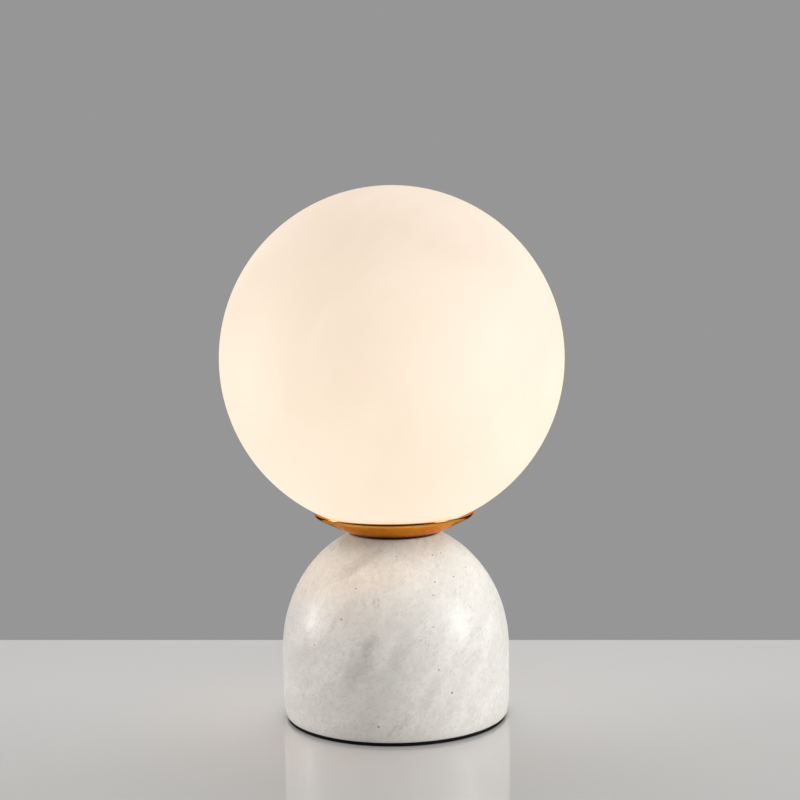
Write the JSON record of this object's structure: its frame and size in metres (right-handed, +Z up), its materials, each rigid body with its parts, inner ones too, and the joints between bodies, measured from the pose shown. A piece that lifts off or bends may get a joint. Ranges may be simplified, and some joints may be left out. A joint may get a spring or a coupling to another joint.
{
  "type": "table lamp",
  "caption": "Table lamp with an opal glass globe resting in a shallow brass dish on a domed marble base; the globe lifts off and the bulb unscrews.",
  "frame": {"origin": "centre of the foot pad's underside, at the bottom centre of the bounding box", "axes": "+Z up along the lamp's axis, -Y towards the viewer of the picture, +Y towards the cord inlet at the back"},
  "size_m": [0.25, 0.2498, 0.3884],
  "materials": {
    "opal_glass": "glossy opal, lit from inside",
    "marble": "polished white marble with grey veins",
    "satin_brass": "satin brass",
    "contact_brass": "bright",
    "foam": "black closed-cell foam",
    "dark_rubber": "matt",
    "silicone": "translucent white silicone",
    "zinc_steel": "zinc plated",
    "black_plastic": "fine satin moulding",
    "white_ceramic": "unglazed white",
    "nylon": "natural nylon",
    "brown_pvc": "lead insulation",
    "blue_pvc": "lead insulation",
    "green_pvc": "lead insulation",
    "diffuser": "frosted, lit",
    "white_plastic": "satin white",
    "nickel": "nickel plated",
    "black_glass": "black insulator",
    "solder": "soft solder",
    "light_board": "white coated",
    "circuit_board": "green board"
  },
  "bodies": {
    "base": {"base_pad": "foam", "marble_base": "marble", "cable_bush": "black_plastic", "clamp_plate": "zinc_steel", "lower_lock_washer": "zinc_steel", "lower_nut": "zinc_steel", "threaded_tube": "zinc_steel", "tube_end_bush": "nylon", "terminal_block": "nylon", "terminal_clamps": "contact_brass", "terminal_screws": "zinc_steel", "block_fixing_screws": "zinc_steel", "earth_tag": "nickel", "earth_screw": "zinc_steel", "lead_line": "brown_pvc", "lead_neutral": "blue_pvc", "lead_earth": "green_pvc", "top_gasket": "dark_rubber", "dish": "satin_brass", "dish_lock_washer": "zinc_steel", "dish_nut": "zinc_steel", "globe_seal": "silicone", "holder_cap": "black_plastic", "holder_lock_screw": "zinc_steel", "holder_insert": "white_ceramic", "holder_terminal_screws": "contact_brass", "centre_contact": "contact_brass", "screw_shell": "contact_brass", "holder_sleeve": "black_plastic"},
    "globe": {"globe": "opal_glass"},
    "bulb": {"bulb_contact": "solder", "bulb_insulator": "black_glass", "bulb_cap": "nickel", "bulb_body": "white_plastic", "bulb_driver": "circuit_board", "bulb_led_board": "light_board", "bulb_diffuser": "diffuser"}
  },
  "joints": [
    {"name": "globe_lift", "type": "slide", "parent": "base", "child": "globe", "axis": [0, 0, 1], "range_m": [0, 0.2]},
    {"name": "bulb_release", "type": "slide", "parent": "base", "child": "bulb", "axis": [0, 0, 1], "range_m": [0, 0.035]}
  ]
}
